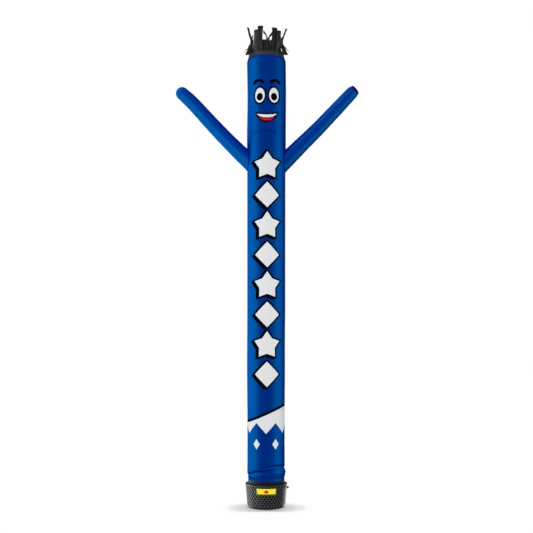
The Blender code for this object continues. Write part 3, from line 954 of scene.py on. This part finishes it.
def hair_cloth():
    """Black nylon: a paler header, painted light, and strips darker at their edges, roots,
    creases and tips and where they flop out, painted shade.
    """
    material, start, shader = new_material("cloth_black_strips")
    across, along, unused = start.node("ShaderNodeUVMap", uv_map="print").parts()
    ends = abs(across).ramp(*EDGE_SHADE).most(along.ramp(*TIP_SHADE))
    header = (-along).ramp(-0.02, 0.02)
    colour = header.mix(ends.mix(STRIP_BLACK, SHADED_BLACK), HEADER_PAINTED_LIGHT)
    place = start.node("ShaderNodeTexCoord", output=3)
    x, y, z = place.parts()
    drawn = start.node("ShaderNodeCombineXYZ", {0: x, 1: y, 2: z * CREASE_STRETCH})
    creases = start.node("ShaderNodeTexNoise", {"Vector": drawn, "Scale": 55.0, "Detail": 2.0})
    folds = creases.ramp(*CREASE_SHADE) * CREASE_DEPTH
    root = along.ramp(*ROOT_SHADE) * ROOT_DEPTH
    flopped = x.length(y).ramp(*FLOPPED_SHADE)
    # painted shade in the creases, near the roots and on the strips that flop out
    shade = flopped.most(folds.most(root) * along.ramp(0.02, 0.10))
    colour = shade.mix(colour, SHADED_BLACK)
    uneven = start.node("ShaderNodeTexNoise", {"Vector": place, "Scale": 38.0, "Detail": 3.0})
    bump = start.node("ShaderNodeBump", {"Strength": 0.5, "Distance": 0.004, "Height": uneven})
    feed(shader, "Base Color", colour)
    feed(shader, "Roughness", 0.42)
    feed(shader, "Specular IOR Level", 0.42)
    feed(shader, "Normal", bump)
    return material


top_row = len(HEADER_LEVELS) - 1
columns = STRIP_COLUMNS + 1
bm = loft([header_ring(height) for height in HEADER_LEVELS])
order = bm.verts.layers.int["order"]
row = bm.verts.layers.int["row"]
top = [edge for edge in bm.edges if all(vert[row] == top_row for vert in edge.verts)]
for number, strip in enumerate(HAIR):
    edges = [edge for edge in top if all(vert[order] // columns == number for vert in edge.verts)]
    for step, section in enumerate(strip_sections(strip, strip_turn(number)), 1):
        centre, wide, thick = section
        points, edges = grow(bm, edges)
        free = smooth(step / STRIP_FREE)
        for vert in points:
            side = (vert[order] % columns) / STRIP_COLUMNS * 2.0 - 1.0
            cup = STRIP_CUP * free * (1.0 - side * side) * math.cos(number * CUP_PHASE)
            spot = Vector((side * WAVE_ACROSS, step * WAVE_ALONG, number * WAVE_APART))
            wave = noise.noise(spot) * STRIP_WAVE * free
            vert.co = centre + wide * side * strip.wide / 2.0 + thick * (cup + wave)
            vert[row] = top_row + step
flat = bm.loops.layers.uv.new("print")
for face in bm.faces:
    for loop in face.loops:
        side = (loop.vert[order] % columns) / STRIP_COLUMNS * 2.0 - 1.0
        if all(vert[row] <= top_row for vert in face.verts):
            side = 0.0
        loop[flat].uv = (side, (loop.vert[row] - top_row) / STRIP_STEPS)
bmesh.ops.recalc_face_normals(bm, faces=bm.faces)
hair = add_piece("hair_strips", bm, hair_cloth(), creased=False)
thicken(hair, HAIR_CLOTH)
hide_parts("hair")


# ---- cuff -------------------------------------------------------------------------------
# The strap of black woven webbing that grips the tube's foot on the blower's outlet.  It is
# drawn tight over the cloth and sits just above the blower's top plate.
BLOWER_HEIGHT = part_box("blower_rim")[1].z
GAP = 0.0003
CUFF_LOW = BLOWER_HEIGHT + GAP
CUFF_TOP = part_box("cuff")[1].z
CUFF_INSIDE = FOOT_RADIUS + GAP
CUFF_THICK = 0.0035
CUFF_OUTSIDE = CUFF_INSIDE + CUFF_THICK
CUFF_EDGE = ((0.0012, 0.0), (0.0003, 0.0006), (0.0, 0.0016))
RIB_PITCH = 0.0022
RIB_RISE = 0.00012
WEFT_PITCH = 0.0018
WEFT_RADIUS = 0.228
WEFT_RISE = 0.00008
WEBBING_BLACK = (0.007, 0.007, 0.0075, 1.0)
TURNED_SIDES = 144
POLE_WELD = 0.00002


def turned(name, profile, material, closed=True):
    """A turned piece: a profile of (radius, height) corners spun once round the axis."""
    bm = bmesh.new()
    corners = [bm.verts.new((radius, 0.0, height)) for radius, height in profile]
    for low, high in zip(corners, corners[1:]):
        bm.edges.new((low, high))
    if closed:
        bm.edges.new((corners[-1], corners[0]))
    bmesh.ops.spin(bm, geom=bm.verts[:] + bm.edges[:], cent=(0, 0, 0), axis=(0, 0, 1),
                   angle=2.0 * math.pi, steps=TURNED_SIDES, use_merge=True)
    bmesh.ops.remove_doubles(bm, verts=bm.verts, dist=POLE_WELD)
    bmesh.ops.recalc_face_normals(bm, faces=bm.faces)
    return add_piece(name, bm, material)


def webbing():
    """Woven black tape: fine ribs along the strap, crossed by the finer weft."""
    material, start, shader = new_material("strap_black_webbing")
    x, y, z = start.node("ShaderNodeTexCoord", output=3).parts()
    ribs = (z * (2.0 * math.pi / RIB_PITCH)).call("SINE")
    angle = x.maths("ARCTAN2", x, y)
    weft = (angle * (2.0 * math.pi * WEFT_RADIUS / WEFT_PITCH)).call("SINE")
    height = ribs * RIB_RISE + weft * WEFT_RISE
    bump = start.node("ShaderNodeBump", {"Strength": 0.8, "Distance": 1.0, "Height": height})
    feed(shader, "Base Color", WEBBING_BLACK)
    feed(shader, "Roughness", 0.55)
    feed(shader, "Specular IOR Level", 0.10)
    feed(shader, "Normal", bump)
    return material


cuff_profile = [(CUFF_OUTSIDE - inward, CUFF_TOP - back) for inward, back in CUFF_EDGE]
cuff_profile += [(CUFF_OUTSIDE - inward, CUFF_LOW + back) for inward, back in CUFF_EDGE[::-1]]
cuff_profile += [(CUFF_INSIDE, CUFF_LOW), (CUFF_INSIDE, CUFF_TOP)]
cuff = turned("cuff_strap", cuff_profile, webbing())
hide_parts("cuff")
blower_lit.objects.link(cuff)


# ---- blower collar ----------------------------------------------------------------------
# The blower's rolled steel outlet, painted black, which the tube's foot fits over.  It is
# hidden but for its inside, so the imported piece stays.
def painted_steel(name, tone, roughness):
    """Black powder paint with a slight orange peel, by how pale and how rough it is."""
    material, start, shader = new_material(name)
    place = start.node("ShaderNodeTexCoord", output=3)
    peel = start.node("ShaderNodeTexNoise", {"Vector": place, "Scale": 260.0, "Detail": 2.0})
    bump = start.node("ShaderNodeBump", {"Strength": 0.15, "Distance": 0.001, "Height": peel})
    feed(shader, "Base Color", (tone, tone, tone * 1.08, 1.0))
    feed(shader, "Roughness", roughness)
    feed(shader, "Normal", bump)
    return material


steel = painted_steel("steel_black_paint", tone=0.018, roughness=0.42)
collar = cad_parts["blower_collar"]
collar.data.materials.clear()
collar.data.materials.append(steel)


# ---- blower rim -------------------------------------------------------------------------
# The blower's round top plate, pressed from steel sheet with a rounded shoulder and a short
# skirt over the drum's upper edge.
RIM_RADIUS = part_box("blower_rim")[1].x
RIM_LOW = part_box("blower_rim")[0].z
RIM_HOLE = FOOT_RADIUS - 0.0015
RIM_WALL = 0.0045
RIM_PLATE = 0.003
RIM_ROUND = 0.009
ROUND_STEPS = 10


def rounding(radius, height, size, turn_from, turn_to):
    """Profile corners along an arc about the point (radius, height)."""
    turns = [math.radians(turn_from + (turn_to - turn_from) * number / ROUND_STEPS)
             for number in range(ROUND_STEPS + 1)]
    return [(radius + size * math.cos(turn), height + size * math.sin(turn)) for turn in turns]


# painted light: the rim's paint is paler than the collar's black, for the light on its rounded
# shoulder
rim_lit_steel = painted_steel("rim_paint_painted_light", tone=0.085, roughness=0.36)
rim_profile = rounding(RIM_RADIUS - RIM_ROUND, BLOWER_HEIGHT - RIM_ROUND, RIM_ROUND, 90, 0)
rim_profile += [(RIM_RADIUS, RIM_LOW), (RIM_RADIUS - RIM_WALL, RIM_LOW),
                (RIM_RADIUS - RIM_WALL, BLOWER_HEIGHT - RIM_PLATE),
                (RIM_HOLE, BLOWER_HEIGHT - RIM_PLATE), (RIM_HOLE, BLOWER_HEIGHT)]
rim = turned("rim_plate", rim_profile, rim_lit_steel)
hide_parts("blower_rim")
light_apart(rim)


# ---- blower drum ------------------------------------------------------------------------
# The blower's wall of black painted steel sheet, punched with staggered rows of round holes
# that let the air in.  A plain liner close behind it stands for what the holes hide, painted
# near black as the shade within.
BASE_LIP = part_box("blower_base")[1].z
BASE_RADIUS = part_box("blower_base")[1].x
RIM_REVEAL = 0.001
DRUM_SHEET = 0.0012
DRUM_WEDGES = 38
HOLE_ROWS = 9
HOLE_RADIUS = 0.0132
HOLE_SIDES = 16
HOLES_LOW = 0.036
HOLES_HIGH = 0.281
WELD = 0.0001
LINER_IN = 0.0060
LINER_SHEET = 0.0015
LINER_LOW = BASE_LIP + 0.001
LINER_HIGH = RIM_LOW - 0.001
LINER_SHADE_BLACK = (0.001, 0.001, 0.001, 1.0)


def drum_radius(height):
    """Outside of the drum's wall, which widens evenly from the base to the rim."""
    rise = (height - BASE_LIP) / (BLOWER_HEIGHT - BASE_LIP)
    return BASE_RADIUS + (RIM_RADIUS - RIM_REVEAL - BASE_RADIUS) * rise


def on_drum(angle, height, inward=0.0):
    """A point of the drum's wall at an angle in radians."""
    reach = drum_radius(height) - inward
    return Vector((math.sin(angle) * reach, -math.cos(angle) * reach, height))


def build_drum(material):
    """One column of cells, each with its hole, spun into the whole punched wall.

    The points round a hole are extruded out to the four sides of its cell.
    """
    wedge = 2.0 * math.pi / DRUM_WEDGES
    pitch = (HOLES_HIGH - HOLES_LOW) / HOLE_ROWS
    corner = HOLE_SIDES // 8
    bm = bmesh.new()
    number = bm.verts.layers.int.new("number")
    for row in range(HOLE_ROWS):
        turn = wedge * 0.5 * (row % 2)
        middle = HOLES_LOW + pitch * (row + 0.5)
        circle = bmesh.ops.create_circle(bm, radius=1.0, segments=HOLE_SIDES)["verts"]
        rim_edges = list({edge for vert in circle for edge in vert.link_edges})
        for count, vert in enumerate(circle):
            angle = 2.0 * math.pi * count / HOLE_SIDES
            height = middle + HOLE_RADIUS * math.cos(angle)
            vert.co = on_drum(turn + HOLE_RADIUS * math.sin(angle) / drum_radius(height), height)
            vert[number] = count
        for vert in grow(bm, rim_edges)[0]:
            side, step = divmod(vert[number] + corner, 2 * corner)
            slide = step / corner - 1.0
            x, z = ((slide, 1.0), (1.0, -slide), (-slide, -1.0), (-1.0, slide))[side % 4]
            vert.co = on_drum(turn + x * wedge / 2.0, middle + z * pitch / 2.0)
    bmesh.ops.remove_doubles(bm, verts=bm.verts, dist=WELD)
    for limit, height in ((HOLES_LOW, BASE_LIP + GAP), (HOLES_HIGH, RIM_LOW - GAP)):
        edges = [edge for edge in bm.edges if edge.is_boundary
                 and all(abs(vert.co.z - limit) < WELD for vert in edge.verts)]
        for vert in grow(bm, edges)[0]:
            vert.co = on_drum(math.atan2(vert.co.x, -vert.co.y), height)
    bmesh.ops.spin(bm, geom=bm.verts[:] + bm.edges[:] + bm.faces[:], cent=(0, 0, 0),
                   axis=(0, 0, 1), angle=2.0 * math.pi, steps=DRUM_WEDGES,
                   use_duplicate=True)
    bmesh.ops.remove_doubles(bm, verts=bm.verts, dist=WELD)
    bmesh.ops.recalc_face_normals(bm, faces=bm.faces)
    return add_piece("drum_wall", bm, material)


# painted light: the drum's paint is paler than the collar's black, for the light on the webs
# between its holes
drum = build_drum(painted_steel("drum_paint_painted_light", tone=0.150, roughness=0.34))
thicken(drum, DRUM_SHEET)
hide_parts("blower_drum")
light_apart(drum)
# painted shade: the liner is near black for the shade inside the drum
shade_lining, start, shader = new_material("drum_painted_shade_liner")
feed(shader, "Base Color", LINER_SHADE_BLACK)
feed(shader, "Roughness", 0.9)
feed(shader, "Specular IOR Level", 0.1)
liner_profile = [(drum_radius(height) - inward, height) for height, inward in (
    (LINER_HIGH, LINER_IN), (LINER_LOW, LINER_IN),
    (LINER_LOW, LINER_IN + LINER_SHEET), (LINER_HIGH, LINER_IN + LINER_SHEET))]
liner = turned("drum_shade_liner", liner_profile, shade_lining)
light_apart(liner)


# ---- blower base ------------------------------------------------------------------------
# The round pan that the blower stands on, pressed from steel sheet with a rounded lower corner
# and painted black.  The drum's wall stands on its upper edge.
BASE_TAPER = 0.0012
BASE_CORNER = 0.022
BASE_WALL = 0.006
BASE_FLOOR = 0.010
pan_profile = [(0.0, BASE_FLOOR), (BASE_RADIUS - BASE_CORNER, BASE_FLOOR),
               (BASE_RADIUS - BASE_WALL, BASE_CORNER), (BASE_RADIUS - BASE_WALL, BASE_LIP),
               (BASE_RADIUS, BASE_LIP)]
pan_profile += rounding(BASE_RADIUS - BASE_TAPER - BASE_CORNER, BASE_CORNER, BASE_CORNER, 0, -90)
pan_profile += [(0.0, 0.0)]
pan = turned("base_pan", pan_profile, steel, closed=False)
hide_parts("blower_base")
light_apart(pan)


# ---- label plate ------------------------------------------------------------------------
# A thin plate bent to the drum and fixed to its front, printed plain yellow with a dark line
# round its edge and a red diamond in the middle.
LABEL_TURN = 27.2
LABEL_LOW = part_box("label_plate")[0].z
LABEL_TOP = 0.259
LABEL_MIDDLE = (LABEL_LOW + LABEL_TOP) / 2.0
LABEL_PROUD = 0.0013
LABEL_THICK = 0.0008
LABEL_COLUMNS = 40
LABEL_ROWS = 6
LABEL_RADIUS = 0.256
LABEL_YELLOW = (0.95, 0.87, 0.01, 1.0)
LABEL_RED = (0.75, 0.01, 0.03, 1.0)
LABEL_BLACK = (0.02, 0.02, 0.02, 1.0)
BADGE_SLOPE = 0.6
BADGE_HALF = 0.024
LINE_ACROSS = 0.112
LINE_ALONG = 0.027
LINE_HALF = 0.0016

bm = bmesh.new()
bmesh.ops.create_grid(bm, x_segments=LABEL_COLUMNS, y_segments=LABEL_ROWS, size=0.5)
for vert in bm.verts:
    height = LABEL_LOW + (LABEL_TOP - LABEL_LOW) * (vert.co.y + 0.5)
    angle = math.radians(vert.co.x * 2.0 * LABEL_TURN)
    vert.co = on_drum(angle, height, -LABEL_PROUD)
bmesh.ops.recalc_face_normals(bm, faces=bm.faces)
if sum(face.normal.y for face in bm.faces) > 0.0:
    bmesh.ops.reverse_faces(bm, faces=bm.faces)
yellow, start, shader = new_material("label_yellow_gloss")
x, y, z = start.node("ShaderNodeTexCoord", output=3).parts()
across = abs(x.maths("ARCTAN2", x, -y)) * LABEL_RADIUS
along = abs(z - LABEL_MIDDLE)
badge = (across * BADGE_SLOPE + along - BADGE_HALF).inside(0.0006)
line = (abs((across - LINE_ACROSS).most(along - LINE_ALONG)) - LINE_HALF).inside(0.0004)
colour = line.mix(badge.mix(LABEL_YELLOW, LABEL_RED), LABEL_BLACK)
feed(shader, "Base Color", colour)
feed(shader, "Roughness", 0.38)
label = add_piece("label_plain", bm, yellow)
thicken(label, LABEL_THICK)
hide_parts("label_plate")


# ---- side knob and cord gland -----------------------------------------------------------
# A small round knob on the drum's right and the gland for the supply cord at the back, both
# moulded in black plastic and pushed into the wall.
FITTING_SIDES = 40
FITTING_GAP = 0.0002
PLASTIC_BLACK = (0.004, 0.004, 0.004, 1.0)
Ring = namedtuple("Ring", "reach radius")
KNOB_RINGS = (
    Ring(0.0, 0.0105), Ring(0.0018, 0.0105), Ring(0.0020, 0.0128), Ring(0.0030, 0.0140),
    Ring(0.0190, 0.0140), Ring(0.0208, 0.0132), Ring(0.0217, 0.0118), Ring(0.0220, 0.0090),
)
GLAND_RINGS = (
    Ring(0.0, 0.0138), Ring(0.0032, 0.0138), Ring(0.0040, 0.0128), Ring(0.0045, 0.0106),
    Ring(0.0120, 0.0096), Ring(0.0172, 0.0089), Ring(0.0180, 0.0080),
)
Fitting = namedtuple("Fitting", "name node turn rings")
FITTINGS = (
    Fitting("knob_moulded", "side_knob", 90.0, KNOB_RINGS),
    Fitting("gland_moulded", "cord_gland", 180.0, GLAND_RINGS),
)

plastic, start, shader = new_material("plastic_black_moulded")
place = start.node("ShaderNodeTexCoord", output=3)
grain = start.node("ShaderNodeTexNoise", {"Vector": place, "Scale": 900.0, "Detail": 2.0})
bump = start.node("ShaderNodeBump", {"Strength": 0.12, "Distance": 0.0005, "Height": grain})
feed(shader, "Base Color", PLASTIC_BLACK)
feed(shader, "Roughness", 0.6)
feed(shader, "Specular IOR Level", 0.15)
feed(shader, "Normal", bump)
for row in FITTINGS:
    box_low, box_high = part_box(row.node)
    height = (box_low.z + box_high.z) / 2.0
    out = direction(row.turn)
    aside = direction(row.turn + 90.0)
    up = Vector((0.0, 0.0, 1.0))
    root = drum_radius(height + row.rings[0].radius) + FITTING_GAP
    angles = [2.0 * math.pi * number / FITTING_SIDES for number in range(FITTING_SIDES)]
    spokes = [aside * math.cos(angle) + up * math.sin(angle) for angle in angles]
    rings = []
    for ring in row.rings:
        centre = out * (root + ring.reach) + up * height
        rings.append([centre + spoke * ring.radius for spoke in spokes])
    bm = loft(rings, cap_end=True)
    open_edges = [edge for edge in bm.edges if edge.is_boundary]
    bmesh.ops.contextual_create(bm, geom=open_edges)
    bmesh.ops.recalc_face_normals(bm, faces=bm.faces)
    fitting = add_piece(row.name, bm, plastic)
    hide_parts(row.node)
